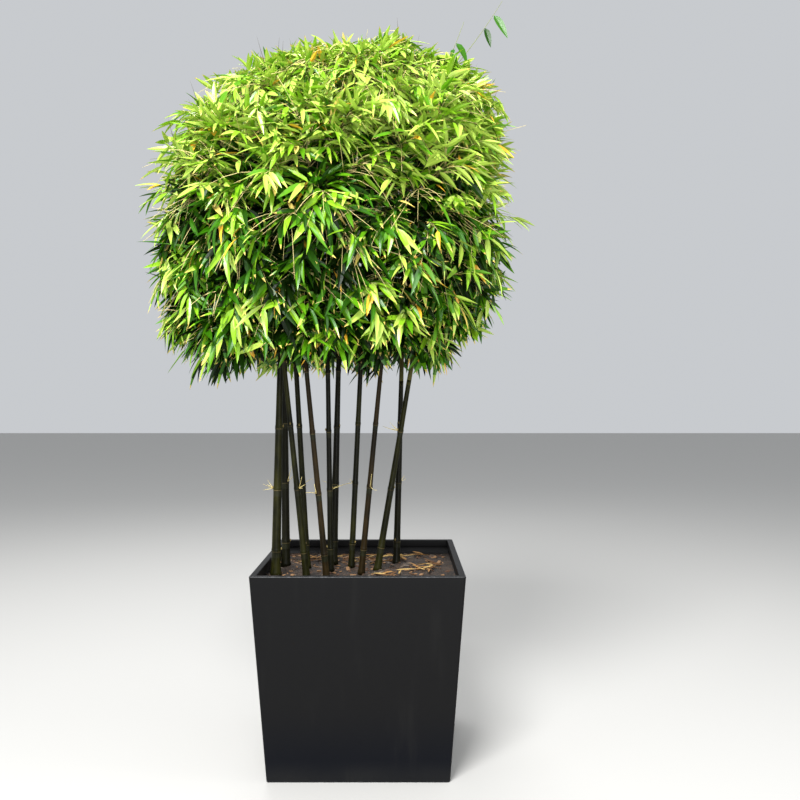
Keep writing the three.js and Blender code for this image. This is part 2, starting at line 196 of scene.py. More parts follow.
# Planter
# A square tapered planter moulded in one thin shell of dark composite, with a turned-in rim and crisp, just
# broken edges. It is painted satin charcoal and stands free on its flat underside.
POT_TOP = 0.762
POT_FOOT = 0.656
POT_HEIGHT = 0.745
POT_WALL = 0.012
RIM_WIDTH = 0.024
RIM_DEPTH = 0.030
EDGE = 0.003
PANEL_CORNER = 0.009
FOOT_CORNER = 0.006
INSIDE_CORNER = 0.008
PANEL_BOW = 0.0014
PANEL_RINGS = 11
PANEL_END = 0.03
CORNER_STEPS = 4
SIDE_STEPS = 14
SOIL_TOP = 0.690
# The soil hides the inside of the wall at this height, so a flat face closes the mesh there.
INSIDE_END = 0.64


def pot_half(z):
    return (POT_FOOT + (POT_TOP - POT_FOOT) * z / POT_HEIGHT) / 2


def rounded_square(half, z, corner, bow=0.0):
    """Points round a square with rounded corners; bow draws the middle of each side in."""
    middle = half - corner
    turn = np.linspace(0, np.pi / 2, CORNER_STEPS + 1)
    corner_points = np.column_stack([middle + corner * np.cos(turn), middle + corner * np.sin(turn)])
    along = np.linspace(-1, 1, SIDE_STEPS + 2)[1:-1]
    side_points = np.column_stack([-middle * along, half - bow * (1 - along**2)])
    quarter = np.vstack([corner_points, side_points])
    turns = ((1, 0), (0, 1), (-1, 0), (0, -1))
    plan = np.vstack([quarter @ np.array([[c, s], [-s, c]]) for c, s in turns])
    return np.column_stack([plan, np.full(len(plan), z)])


def make_piece(name, points, groups, finishes, smooth=True):
    """A mesh piece from an array of points and groups of faces, each with the finish that it takes."""
    mesh = bpy.data.meshes.new(name)
    points = np.ascontiguousarray(points, dtype=np.float32).reshape(-1, 3)
    corners = np.concatenate([faces.ravel() for faces, _ in groups]).astype(np.int32)
    counts = np.concatenate([np.full(len(faces), faces.shape[1]) for faces, _ in groups])
    looks = np.concatenate([np.broadcast_to(look, len(faces)) for faces, look in groups]).astype(np.int32)
    mesh.vertices.add(len(points))
    mesh.vertices.foreach_set("co", points.ravel())
    mesh.loops.add(len(corners))
    mesh.loops.foreach_set("vertex_index", corners)
    mesh.polygons.add(len(counts))
    mesh.polygons.foreach_set("loop_start", np.concatenate([[0], np.cumsum(counts)[:-1]]).astype(np.int32))
    mesh.polygons.foreach_set("material_index", looks)
    mesh.polygons.foreach_set("use_smooth", np.full(len(counts), smooth))
    for finish in finishes:
        mesh.materials.append(finish.material)
    mesh.update(calc_edges=True)
    mesh.validate()
    piece = add_object(mesh)
    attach(piece, "root")
    return piece


def skin(rings):
    """Quads between closed rings of points, and a face over the first and the last ring."""
    count, around = len(rings), len(rings[0])
    index = np.arange(count * around).reshape(count, around)
    ahead = np.roll(index, -1, axis=1)
    quads = np.stack([index[:-1], ahead[:-1], ahead[1:], index[1:]], axis=-1).reshape(-1, 4)
    return np.vstack(rings), quads, index[0][::-1][None], index[-1][None]


def pot_rings():
    """Rings round the planter, from its underside up the outside, over the rim and down the inside."""
    foot, top, mouth = pot_half(0), POT_TOP / 2, POT_TOP / 2 - RIM_WIDTH
    under = POT_HEIGHT - RIM_DEPTH
    rows = []
    for part in (0.0, 0.35, 1.0):
        rows.append((foot - EDGE * (1 - part), EDGE * part, FOOT_CORNER + EDGE * part))
    for z in np.linspace(PANEL_END, POT_HEIGHT - PANEL_END, PANEL_RINGS):
        rows.append((pot_half(z), z, PANEL_CORNER, PANEL_BOW * math.sin(math.pi * z / POT_HEIGHT)))
    for inset, drop in ((0.0, 1.0), (0.3, 0.35), (1.0, 0.0)):
        rows.append((top - EDGE * inset, POT_HEIGHT - EDGE * drop, PANEL_CORNER - EDGE * inset))
    for inset, drop in ((1.0, 0.0), (0.3, 0.3), (0.0, 1.0)):
        rows.append((mouth + EDGE * inset, POT_HEIGHT - EDGE * drop, FOOT_CORNER + EDGE * inset))
    rows.append((mouth, under + EDGE, FOOT_CORNER))
    rows.append((mouth + EDGE, under, FOOT_CORNER + 0.001))
    for z in (under, INSIDE_END):
        rows.append((pot_half(z) - POT_WALL, z, INSIDE_CORNER))
    return [rounded_square(*row) for row in rows]


# Painted shade makes the paint a little bluer and darker near the ground. Dust gathers there too, and rain
# has left faint streaks.
DUST_TOP = 0.09
SHADE_TOP = 0.30
SHADE_END = 0.04
charcoal = Finish("satin_charcoal", tone(9, 10, 13), 0.42, specular=0.12)
charcoal_cloud = charcoal.grain(5.0, 4.0)
charcoal_streak = charcoal.grain(3.0, 5.0, (6.0, 6.0, 0.7))
charcoal_fine = charcoal.grain(420.0, 2.0)
charcoal_dust = (DUST_TOP - charcoal.height()).between(0.0, DUST_TOP) * charcoal_cloud
charcoal_dust = charcoal_dust + (charcoal_streak.between(0.55, 0.8) * 0.25)
# Painted shade: the paint turns darker and bluer from SHADE_TOP down towards the ground.
painted_foot_shade = (SHADE_TOP - charcoal.height()).between(0.0, SHADE_TOP - SHADE_END)
charcoal_with_painted_shade = charcoal.blend(painted_foot_shade, tone(12, 12, 13), tone(3, 5, 12))
charcoal.set("Base Color", charcoal.blend(charcoal_dust, charcoal_with_painted_shade, tone(30, 30, 29)))
charcoal.set("Roughness", 0.42 + charcoal_cloud * 0.16 + charcoal_streak * 0.08)
charcoal.relief(charcoal_fine * 0.35 + charcoal_cloud * 0.9, 0.0009, 0.55)
# The broken edges round the foot and the top are scuffed through to a paler grey.
scuffed = Finish("scuffed_charcoal_edge", tone(30, 31, 33), 0.5, specular=0.4)
scuffed_marks = scuffed.grain(60.0, 4.0).between(0.5, 0.72)
scuffed.set("Base Color", scuffed.blend(scuffed_marks, tone(24, 25, 27), tone(84, 84, 86)))
scuffed.set("Roughness", 0.45 + scuffed_marks * 0.25)

rings = pot_rings()
pot_points, pot_quads, pot_under, pot_inside = skin(rings)
pot_row = np.arange(len(pot_quads)) // len(rings[0])
EDGE_ROWS = (0, 1, PANEL_RINGS + 3, PANEL_RINGS + 4)
pot_looks = np.isin(pot_row, EDGE_ROWS).astype(int)
pot_groups = [(pot_quads, pot_looks), (pot_under, 0), (pot_inside, 0)]
pot = make_piece("planter", pot_points, pot_groups, [charcoal, scuffed])
pot_bevels = pot.modifiers.new("weighted", "WEIGHTED_NORMAL")
pot_bevels.keep_sharp = True
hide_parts("pot")


# Soil
# Dark, moist potting mix, 55 mm below the rim, mounded a little round the culms. Chips of bark and the dry
# leaves that the bamboo has shed lie on it.
SOIL_STEPS = 90
MOUND = 0.009
rng = np.random.default_rng(20261)


def lumps(x, y, size):
    """Smooth random heights about 1 high: a sum of waves about one size long."""
    waves = 14
    total = np.zeros_like(x)
    for _ in range(waves):
        turn, shift = rng.uniform(0, 2 * np.pi, 2)
        pitch = size * rng.uniform(0.6, 1.6)
        total += np.sin((x * np.cos(turn) + y * np.sin(turn)) * 2 * np.pi / pitch + shift)
    return total / math.sqrt(waves)


RING = {"share": 0.6, "z": 2.02, "arch": 0.10}
TOP = {"share": 0.26, "z": 2.53, "arch": 0.0}
# Name, place of the foot and of the waist in plan, radius at the foot, way that the head turns, and its head.
CULMS = [
    ("left", (-0.327, -0.110), (-0.310, -0.115), 0.0180, 180, RING),
    ("back_left", (-0.312, 0.062), (-0.321, 0.085), 0.0170, 135, RING),
    ("front_left", (-0.204, -0.150), (-0.278, -0.190), 0.0125, 225, RING),
    ("top_left", (-0.220, 0.020), (-0.263, 0.020), 0.0125, 150, TOP),
    ("front", (-0.126, -0.170), (-0.194, -0.215), 0.0120, 270, RING),
    ("top_front", (-0.121, -0.050), (-0.132, -0.050), 0.0115, 270, TOP),
    ("back", (-0.124, 0.110), (-0.108, 0.150), 0.0160, 90, RING),
    ("top_right", (-0.046, 0.030), (-0.011, 0.030), 0.0120, 30, TOP),
    ("front_right", (-0.001, -0.090), (0.072, -0.120), 0.0120, 315, RING),
    ("back_right", (0.134, 0.090), (0.154, 0.130), 0.0140, 45, RING),
    ("right", (0.059, -0.020), (0.185, -0.010), 0.0135, 0, RING),
]
soil_half = pot_half(SOIL_TOP) - POT_WALL - 0.001
soil_axis = np.linspace(-soil_half, soil_half, SOIL_STEPS)
soil_x, soil_y = np.meshgrid(soil_axis, soil_axis, indexing="ij")
soil_z = SOIL_TOP - 0.004 + 0.0035 * lumps(soil_x, soil_y, 0.16) + 0.0018 * lumps(soil_x, soil_y, 0.045)
soil_z = soil_z + 0.0009 * lumps(soil_x, soil_y, 0.016) + rng.uniform(-0.0008, 0.0008, soil_x.shape)
for _, (foot_x, foot_y), _, foot_radius, _, _ in CULMS:
    soil_z += MOUND * np.exp(-((soil_x - foot_x) ** 2 + (soil_y - foot_y) ** 2) / (3 * foot_radius) ** 2)


def soil_height(x, y):
    """The soil's height at the point of its grid that is nearest to each place."""
    last = SOIL_STEPS - 1
    near = [np.rint((v + soil_half) / (2 * soil_half) * last).astype(int) for v in (x, y)]
    return soil_z[np.clip(near[0], 0, last), np.clip(near[1], 0, last)]


soil_index = np.arange(SOIL_STEPS**2).reshape(SOIL_STEPS, SOIL_STEPS)
soil_corners = [soil_index[:-1, :-1], soil_index[1:, :-1], soil_index[1:, 1:], soil_index[:-1, 1:]]
soil_quads = np.stack(soil_corners, axis=-1).reshape(-1, 4)
soil_points = np.stack([soil_x, soil_y, soil_z], axis=-1)
potting_mix = Finish("potting_mix", tone(40, 31, 24), 0.95)
mix_crumbs = potting_mix.grain(210.0, 4.0)
mix_patches = potting_mix.grain(16.0, 3.0)
mix_tint = (mix_crumbs * 0.6 + mix_patches * 0.4).between(0.4, 0.68)
potting_mix.set("Base Color", potting_mix.blend(mix_tint, tone(22, 17, 14), tone(74, 56, 41)))
potting_mix.set("Roughness", 0.8 + mix_crumbs * 0.2)
potting_mix.relief(mix_crumbs + mix_patches * 0.5, 0.004)
soil = make_piece("soil_bed", soil_points, [(soil_quads, 0)], [potting_mix])
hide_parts("soil")

# Bark chips are split, flat slivers with broken ends, in three shades of brown. They lie loose on the soil.
CHIP_COUNT = 420
CHIP_TILT = 0.35
CHIP_SHADES = (("brown", (78, 52, 34)), ("grey", (92, 80, 68)), ("tan", (132, 98, 64)))
CHIP_FACES = np.array([(3, 2, 1, 0), (4, 5, 6, 7), (0, 1, 5, 4), (1, 2, 6, 5), (2, 3, 7, 6), (3, 0, 4, 7)])


def turned(pieces, angles, first, second):
    """The points of each piece turned by the piece's own angle, from one axis towards another."""
    c, s = np.cos(angles)[:, None], np.sin(angles)[:, None]
    result = pieces.copy()
    result[..., first] = pieces[..., first] * c - pieces[..., second] * s
    result[..., second] = pieces[..., first] * s + pieces[..., second] * c
    return result


chip_length = rng.uniform(0.008, 0.030, CHIP_COUNT)
chip_width = chip_length * rng.uniform(0.3, 0.7, CHIP_COUNT)
chip_size = np.column_stack([chip_length, chip_width, rng.uniform(0.002, 0.005, CHIP_COUNT)])
chip_corners = np.array([(x, y, z) for z in (-1, 1) for x, y in SQUARE_CORNERS]) / 2
chip_points = chip_corners[None] * chip_size[:, None]
chip_points[:, 4:, :2] *= rng.uniform(0.55, 0.95, (CHIP_COUNT, 1, 2))
chip_points += rng.uniform(-0.12, 0.12, chip_points.shape) * chip_size[:, None]
chip_turn = rng.uniform(0, 2 * np.pi, CHIP_COUNT)
chip_points = turned(chip_points, rng.uniform(-CHIP_TILT, CHIP_TILT, CHIP_COUNT), 0, 2)
chip_points = turned(chip_points, chip_turn, 0, 1)
chip_place = rng.uniform(-soil_half + 0.02, soil_half - 0.02, (CHIP_COUNT, 2))
chip_points[..., :2] += chip_place[:, None]
chip_points[..., 2] += (soil_height(chip_place[:, 0], chip_place[:, 1]) + 0.0012)[:, None]
chip_quads = (CHIP_FACES[None] + 8 * np.arange(CHIP_COUNT)[:, None, None]).reshape(-1, 4)
chip_looks = np.repeat(rng.integers(0, len(CHIP_SHADES), CHIP_COUNT), len(CHIP_FACES))


def dry_finishes(kind, shades, roughness, least, scale, specular=0.5):
    """A finish for each named shade of dry wood or leaf, with a grain that shows in its sheen."""
    finishes = []
    for name, shade in shades:
        finish = Finish(kind + name, tone(*shade), roughness, specular)
        finish.fibre = finish.grain(scale)
        finish.set("Roughness", least + finish.fibre * 0.25)
        finishes.append(finish)
    return finishes


chip_finishes = dry_finishes("bark_chip_", CHIP_SHADES, 0.85, 0.72, 260.0)
for chip_finish in chip_finishes:
    chip_finish.relief(chip_finish.fibre, 0.001)
chips = make_piece("bark_chips", chip_points, [(chip_quads, chip_looks)], chip_finishes, smooth=False)


# Culms
# Eleven smooth, woody canes, ringed with a ridge and a pale sheath scar at each node. They are olive to dark
# brown, lean a little outward from the root ball and taper all the way to their heads in the crown.
# The crown that they carry: its height at the top, the waist, the hem and the hollow underside, and its plan.
CROWN_TOP = 2.700
CROWN_WAIST = 1.910
CROWN_HEM = 1.420
CROWN_UNDERSIDE = 1.590
CROWN_HALF_WIDTH = 0.705
CROWN_HALF_DEPTH = 0.640
CROWN_X = -0.130
CROWN_Y = -0.060
CROWN_LEAN = 0.140
LEAN_START = 2.100
HEM_TUCK = 0.26
HEM_SHIFT = 0.070
DOME_POWER = 3.4
# Size, number round the crown and slant of the waves in the crown's surface.
LOBES = [(0.035, 3, 0.260), (0.025, 7, -0.170)]
# The canes: where they bend, how they taper and flare, and how their nodes are spaced.
WAIST_HEIGHT = 1.440
SHOULDER_HEIGHT = 1.750
CULM_TIP_RADIUS = 0.004
CULM_TAPER = 1.3
CULM_SIDES = 20
FLARE = 0.35
FLARE_HEIGHT = 0.060
FLARE_PROFILE = [(0.0, 1.0), (0.25, 0.5), (0.5, 0.22), (1.0, 0.0)]
FIRST_NODE = 0.095
INTERNODE = 0.235
NODE_SPREAD = 0.03
LAST_NODE_ROOM = 0.03
CANE_PAST_ENTRY = 0.02
RIB_HEIGHT = 0.00016
UP = np.array([0.0, 0.0, 1.0])


def unit(vectors):
    return vectors / np.maximum(np.linalg.norm(vectors, axis=-1, keepdims=True), 1e-9)


def above_waist(z):
    """0 at the crown's waist and 1 at its top."""
    return (z - CROWN_WAIST) / (CROWN_TOP - CROWN_WAIST)


def below_waist(z):
    """0 at the crown's waist and 1 at its hem."""
    return (CROWN_WAIST - z) / (CROWN_WAIST - CROWN_HEM)


def crown_axis(z):
    """The crown's middle line in plan: it leans to the right at the top and to the left at the hem."""
    rise = np.clip((z - LEAN_START) / (CROWN_TOP - LEAN_START), 0, 1)
    shift = HEM_SHIFT * np.maximum(0, below_waist(z)) ** 2
    return CROWN_X + CROWN_LEAN * rise * rise * (3 - 2 * rise) - shift, CROWN_Y


def crown_share(z):
    """The crown's width at a height, as a share of its greatest width."""
    dome = np.sqrt(1 - np.clip(above_waist(z), 0, 1) ** DOME_POWER)
    return np.where(z < CROWN_WAIST, 1 - HEM_TUCK * below_waist(z) ** 2, dome)


def lobes(turn, z):
    """How far the crown's surface waves in and out, on the way round it: about 1."""
    return 1 + sum(size * np.sin(number * turn + z / slant) for size, number, slant in LOBES)


def underside(share):
    """Height of the foliage's underside at a share of the crown's width."""
    return CROWN_UNDERSIDE - (CROWN_UNDERSIDE - CROWN_HEM) * np.minimum(1, share / 0.7) ** 2


def crown_plan(points):
    """Each point's place across and behind the crown's middle line, as shares of its half width and depth."""
    x, y = crown_axis(points[..., 2])
    across = (points[..., 0] - x) / CROWN_HALF_WIDTH
    deep = (points[..., 1] - y) / CROWN_HALF_DEPTH
    return across, deep, lobes(np.arctan2(deep, across), points[..., 2])


def in_crown(points):
    """Whether points lie inside the crown's surface and above its hollow underside."""
    z = points[..., 2]
    across, deep, wave = crown_plan(points)
    use = np.hypot(across, deep) / np.maximum(crown_share(z) * wave, 1e-3)
    return (z < CROWN_TOP) & (z > CROWN_HEM) & (use < 1) & (z > underside(use))


def crown_point(turn, z, share):
    x, y = crown_axis(z)
    reach = share * lobes(turn, z)
    across, deep = reach * CROWN_HALF_WIDTH * math.cos(turn), reach * CROWN_HALF_DEPTH * math.sin(turn)
    return np.array([x + across, y + deep, z])


class Line:
    """A smooth line through a few points, read by the share of its length."""

    STEPS = 400

    def __init__(self, points):
        points = np.array(points, dtype=float)
        ends = np.vstack([2 * points[0] - points[1], points, 2 * points[-1] - points[-2]])
        walk = np.linspace(0, len(points) - 1, self.STEPS + 1)
        k = np.minimum(walk.astype(int), len(points) - 2)
        u = (walk - k)[:, None]
        before, start, end, after = (ends[k + i] for i in range(4))
        leave, arrive = (end - before) / 2, (after - start) / 2
        from_start = start * (2 * u**3 - 3 * u**2 + 1) + leave * (u**3 - 2 * u**2 + u)
        self.points = from_start + end * (3 * u**2 - 2 * u**3) + arrive * (u**3 - u**2)
        steps_long = np.linalg.norm(np.diff(self.points, axis=0), axis=1)
        self.reach = np.concatenate([[0], np.cumsum(steps_long)])
        self.length = self.reach[-1]

    def at(self, share):
        wanted = np.clip(share, 0, 1) * self.length
        return np.stack([np.interp(wanted, self.reach, self.points[:, i]) for i in range(3)], axis=-1)


def sweep(lines, radii, sides):
    """Round limbs along lines of (limbs, stations, 3), with radii of (limbs, stations) and perhaps sides."""
    limbs, stations, _ = lines.shape
    along = unit(np.gradient(lines, axis=1))
    first = np.where(np.abs(along[:, 0, :1]) > 0.9, [[0.0, 1.0, 0.0]], [[1.0, 0.0, 0.0]])
    across = np.empty_like(lines)
    for j in range(stations):
        first = unit(first - along[:, j] * np.sum(first * along[:, j], axis=1, keepdims=True))
        across[:, j] = first
    third = np.cross(along, across)
    turn = np.arange(sides) * 2 * np.pi / sides
    ring = across[:, :, None] * np.cos(turn)[:, None] + third[:, :, None] * np.sin(turn)[:, None]
    radii = np.broadcast_to(radii[..., None] if radii.ndim == 2 else radii, (limbs, stations, sides))
    points = (lines[:, :, None] + ring * radii[..., None]).reshape(-1, 3)
    index = np.arange(limbs * stations * sides).reshape(limbs, stations, sides)
    ahead = np.roll(index, -1, axis=2)
    quads = np.stack([index[:, :-1], ahead[:, :-1], ahead[:, 1:], index[:, 1:]], axis=-1).reshape(-1, 4)
    return points, quads, np.concatenate([index[:, 0, ::-1], index[:, -1]])


class Culm:
    """One cane: its centre line, its radius along it, and where it enters the crown."""

    def __init__(self, name, foot, waist, radius, turn, head):
        foot, waist = np.array(foot), np.array(waist)

        def lean(z):
            return np.append(foot + (waist - foot) * (z - SOIL_TOP) / (WAIST_HEIGHT - SOIL_TOP), z)

        shoulder = lean(SHOULDER_HEIGHT)
        end = crown_point(math.radians(turn), head["z"], head["share"])
        arch = (shoulder + end) / 2 + UP * head["arch"]
        self.name = name
        self.radius = radius
        self.line = Line([lean(SOIL_TOP + 0.0003), lean(WAIST_HEIGHT), shoulder, arch, end])
        shares = np.linspace(0, 1, Line.STEPS + 1)
        self.entry = shares[np.argmax(in_crown(self.line.at(shares)))]

    def radius_at(self, share):
        return self.radius + (CULM_TIP_RADIUS - self.radius) * np.asarray(share) ** CULM_TAPER

    def stations(self, first, count):
        """Points and radii at even steps from a share of the cane's length to its tip."""
        shares = np.linspace(first, 1, count)
        return self.line.at(shares), self.radius_at(shares)


culms = [Culm(*row) for row in CULMS]

# Height above a node, how far the cane swells there, and the look of the band above it: 0 is the bare cane, 1
# the scar and 2 the pale bloom.
NODE_PROFILE = [
    (-0.0240, 0.0000, 2),
    (-0.0080, 0.0002, 2),
    (-0.0035, 0.0006, 1),
    (-0.0022, 0.0014, 1),
    (-0.0008, 0.0012, 0),
    (0.0006, 0.0004, 0),
    (0.0024, 0.0012, 0),
    (0.0050, 0.0015, 0),
    (0.0080, 0.0007, 0),
    (0.0130, 0.0001, 0),
]
# The cane's own shape between nodes is a trace slimmer, at these shares of an internode.
BETWEEN_NODES = (0.2, 0.36, 0.52, 0.68, 0.82)
# Each cane's own shade, in the order of CULMS: 0 is olive, 1 dark and 2 brown.
CANE_SHADES = (0, 1, 0, 0, 2, 1, 1, 0, 2, 1, 0)


def cane_stations(culm, number):
    """The rows of a cane, each with its height up the cane, its swell and its look, and the nodes' places."""
    top = culm.entry * culm.line.length + CANE_PAST_ENTRY
    nodes = np.arange(FIRST_NODE, top - LAST_NODE_ROOM, INTERNODE) * (1 + NODE_SPREAD * math.sin(number))
    rows = [(FLARE_HEIGHT * up, share * FLARE * culm.radius, 0) for up, share in FLARE_PROFILE]
    for node in nodes:
        rows += [(node + step, swell, look) for step, swell, look in NODE_PROFILE]
        rows += [(node + INTERNODE * part, -0.0002, 0) for part in BETWEEN_NODES]
    return [row for row in rows if row[0] < top] + [(top, 0.0, 0)], nodes


def join(swept, looks):
    """One set of points and of face groups from several swept shapes, with the looks of sides and ends."""
    points, groups, total = [], [], 0
    for (shape, quads, ends), (side_look, end_look) in zip(swept, looks):
        points.append(shape)
        groups += [(quads + total, side_look), (ends + total, end_look)]
        total += len(shape)
    return np.vstack(points), groups


cane_shapes, cane_looks, node_places = [], [], []
for number, culm in enumerate(culms):
    stations, nodes = cane_stations(culm, number)
    node_places += [(culm, node / culm.line.length) for node in nodes]
    shares = np.array([row[0] for row in stations]) / culm.line.length
    turn = np.arange(CULM_SIDES) * 2 * np.pi / CULM_SIDES
    ribs = RIB_HEIGHT * np.sin(5 * turn + number)[None] + rng.uniform(-0.00012, 0.00012, (1, CULM_SIDES))
    radii = (culm.radius_at(shares) + [row[1] for row in stations])[:, None] + ribs
    radii = radii + rng.uniform(-0.00008, 0.00008, radii.shape)
    looks = np.repeat([row[2] for row in stations[:-1]], CULM_SIDES)
    cane_shapes.append(sweep(culm.line.at(shares)[None], radii[None], CULM_SIDES))
    cane_looks.append((np.where(looks == 0, CANE_SHADES[number], looks + 2), 0))


def cane_finish(name, dark, light):
    finish = Finish("cane_" + name, tone(*light), 0.42, specular=0.12)
    fibre = finish.grain(170.0, 3.0, (1.0, 1.0, 0.06))
    mottle = finish.grain(24.0, 4.0, (1.0, 1.0, 0.35))
    cloud = (mottle * 0.7 + fibre * 0.3).between(0.36, 0.66)
    finish.set("Base Color", finish.blend(cloud, tone(*dark), tone(*light)))
    finish.set("Roughness", 0.34 + mottle * 0.22)
    finish.relief(fibre * 0.6 + mottle * 0.4, 0.0009, 0.7)
    return finish


cane_finishes = [
    cane_finish("olive", (11, 12, 3), (38, 38, 9)),
    cane_finish("dark", (7, 7, 2), (23, 23, 7)),
    cane_finish("brown", (17, 13, 4), (43, 32, 11)),
    cane_finish("sheath_scar", (40, 35, 20), (88, 78, 50)),
    cane_finish("bloom", (19, 20, 11), (39, 40, 25)),
]
canes = make_piece("canes", *join(cane_shapes, cane_looks), cane_finishes)
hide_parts(*["culm_" + culm.name for culm in culms])

# A flat, pointed bud sits on each node, on one side and then the other. Some have grown a tuft of short twigs
# that have died back to straw.
BUD_LENGTH = 0.011
BUD_RADII = [0.0022, 0.0030, 0.0026, 0.0015, 0.0003]
LOWEST_TUFT = 0.25
bud_lines, straw_lines = [], []
for order, (culm, share) in enumerate(node_places):
    turn = 2.4 * (order // 5) + math.pi * (order % 2)
    out = np.array([math.cos(turn), math.sin(turn), 0.0])
    base = culm.line.at(share + 0.004 / culm.line.length) + out * (culm.radius_at(share) + 0.0002)
    steps = np.linspace(0, 1, len(BUD_RADII))[:, None]
    bud_lines.append(base + UP * BUD_LENGTH * steps + out * (0.0022 * np.sin(np.pi * steps * 0.8)))
    if order % 4 == 1 and share * culm.line.length > LOWEST_TUFT:
        for _ in range(rng.integers(2, 6)):
            length = rng.uniform(0.025, 0.085)
            way = unit(out + UP * rng.uniform(0.2, 1.5) + rng.uniform(-0.8, 0.8, 3))
            sag = rng.uniform(-0.2, 0.2)
            straw_lines.append(base + way * length * steps + UP * sag * length * steps**2)
bud_shape = sweep(np.array(bud_lines), np.array([BUD_RADII] * len(bud_lines)), 6)
bud_scale = cane_finish("bud", (92, 80, 46), (150, 132, 82))
buds = make_piece("node_buds", *join([bud_shape], [(0, 0)]), [bud_scale])


# Boughs
# Above the hem each cane goes on as a stem inside the foliage. Thin side branches leave its nodes, rise a
# little and bow over to the outside of the crown.
BRANCH_COUNT = 180
BRANCH_REACH = 0.86
HEM_ROOM = 0.170
# Shares of the crown's width at which the places for branches run on under its hem.
UNDER_SHARES = np.arange(0.68, 0.35, -0.03)
BRANCH_FOOT = 0.0036
BRANCH_TIP = 0.0016
BRANCH_ROOM = 0.0045
BRANCH_STEPS = 9
STEM_STEPS = 15
FIRST_STEM_NODE = 0.030
STEM_NODE_GAP = 0.150
LAST_STEM_NODE = 0.985
# Arch of a branch and the share of its way that it goes, in the order in which they are tried.
BRANCH_BENDS = [(0.24, 1), (0.12, 1), (0, 1), (-0.1, 1), (0.2, 0.88), (0.05, 0.88), (0.1, 0.75)]
TEST_SHARES = np.array([0.25, 0.5, 0.75, 1.0])
NODES_TRIED = 3
MASS_GAP = 0.014
LIMB_GAP = 0.007
PATH_STEPS = 49


def columns(rows):
    """An array of each column of a list of rows."""
    return [np.array(column) for column in zip(*rows)]


CULM_PATHS, CULM_PATH_RADII = columns(culm.stations(0, PATH_STEPS) for culm in culms)


def culm_distances(points):
    """How far each point is from every cane's surface: (points, canes)."""
    start, step = CULM_PATHS[:, :-1], np.diff(CULM_PATHS, axis=1)
    away = points[:, None, None] - start
    part = np.clip(np.sum(away * step, axis=-1) / np.sum(step * step, axis=-1), 0, 1)
    gap = np.linalg.norm(away - step * part[..., None], axis=-1) - CULM_PATH_RADII[:, :-1]
    return gap.min(axis=-1)


def in_space(points, number, radius):
    """Whether points keep to the space of one cane's foliage: what lies nearer to it than to the others."""
    gaps = culm_distances(points)
    others = np.delete(gaps, number, axis=1).min(axis=1)
    return (others > gaps[:, number] + MASS_GAP + 2 * radius) & (others > radius + LIMB_GAP)


def surface_places(count):
    """Places spread evenly over the crown, and round under its hem, from the top down."""
    heights = np.arange(CROWN_TOP - 0.008, CROWN_HEM + HEM_ROOM, -0.020)
    outer = np.column_stack([heights, crown_share(heights)])
    inner = np.column_stack([underside(UNDER_SHARES) + HEM_ROOM, UNDER_SHARES])
    profile = np.vstack([outer, inner])
    slant = np.hypot(np.diff(profile[:, 0]), np.diff(profile[:, 1]) * CROWN_HALF_WIDTH)
    sums = np.concatenate([[0], np.cumsum(slant * (profile[1:, 1] + profile[:-1, 1] + 0.1))])
    wanted = (np.arange(count) + 0.5) / count * sums[-1]
    golden = math.pi * (3 - math.sqrt(5))
    heights = np.interp(wanted, sums, profile[:, 0])
    shares = np.interp(wanted, sums, profile[:, 1])
    return np.array([crown_point(k * golden, heights[k], shares[k] * BRANCH_REACH) for k in range(count)])


def bow(start, tip, arch, shares):
    """Points along a bent line from start to tip, which rises by arch times its span."""
    start, tip = np.asarray(start)[..., None, :], np.asarray(tip)[..., None, :]
    span = np.linalg.norm(tip - start, axis=-1, keepdims=True)
    middle = (start + tip) / 2 + UP * np.asarray(arch)[..., None, None] * span
    t = np.asarray(shares)[..., :, None]
    return start * (1 - t) ** 2 + 2 * middle * t * (1 - t) + tip * t**2


def stem_nodes(culm):
    first = culm.entry + FIRST_STEM_NODE / culm.line.length
    count = max(2, round((1 - first) * culm.line.length / STEM_NODE_GAP))
    return culm.line.at(np.linspace(first, LAST_STEM_NODE, count))


def grow_branch(number, nodes, place):
    """Start, tip and arch of a branch to a place: the first bend that keeps to its own cane's space."""
    flat = np.hypot(*(place[:2] - nodes[:, :2]).T)
    cost = np.linalg.norm(nodes - place, axis=1) + 0.5 * np.abs(nodes[:, 2] - place[2] + 0.35 * flat - 0.060)
    for node in nodes[np.argsort(cost)[:NODES_TRIED]]:
        for arch, reach in BRANCH_BENDS:
            tip = node + (place - node) * reach
            line = bow(node, tip, arch, TEST_SHARES)
            if in_crown(line).all() and in_space(line, number, BRANCH_ROOM).all():
                return node, tip, arch
    return None


branches = []
branch_places = surface_places(BRANCH_COUNT)
place_owner = culm_distances(branch_places).argmin(axis=1)
for number, culm in enumerate(culms):
    nodes = stem_nodes(culm)
    branches += [grow_branch(number, nodes, place) for place in branch_places[place_owner == number]]
branch_starts, branch_tips, branch_arches = columns(filter(None, branches))

branch_shares = np.broadcast_to(np.linspace(0, 1, BRANCH_STEPS), (len(branch_tips), BRANCH_STEPS))
branch_lines = bow(branch_starts, branch_tips, branch_arches, branch_shares)
branch_lines[:, 1:-1] += rng.normal(0, 0.0035, branch_lines[:, 1:-1].shape)
branch_radii = BRANCH_FOOT + (BRANCH_TIP - BRANCH_FOOT) * branch_shares
stem_lines, stem_radii = columns(culm.stations(culm.entry, STEM_STEPS) for culm in culms)
bough_shapes = [sweep(stem_lines, stem_radii, 10), sweep(branch_lines, branch_radii, 5)]
bough_cane = cane_finish("bough", (38, 38, 16), (84, 80, 38))
boughs = make_piece("boughs", *join(bough_shapes, [(0, 0)] * 2), [bough_cane])


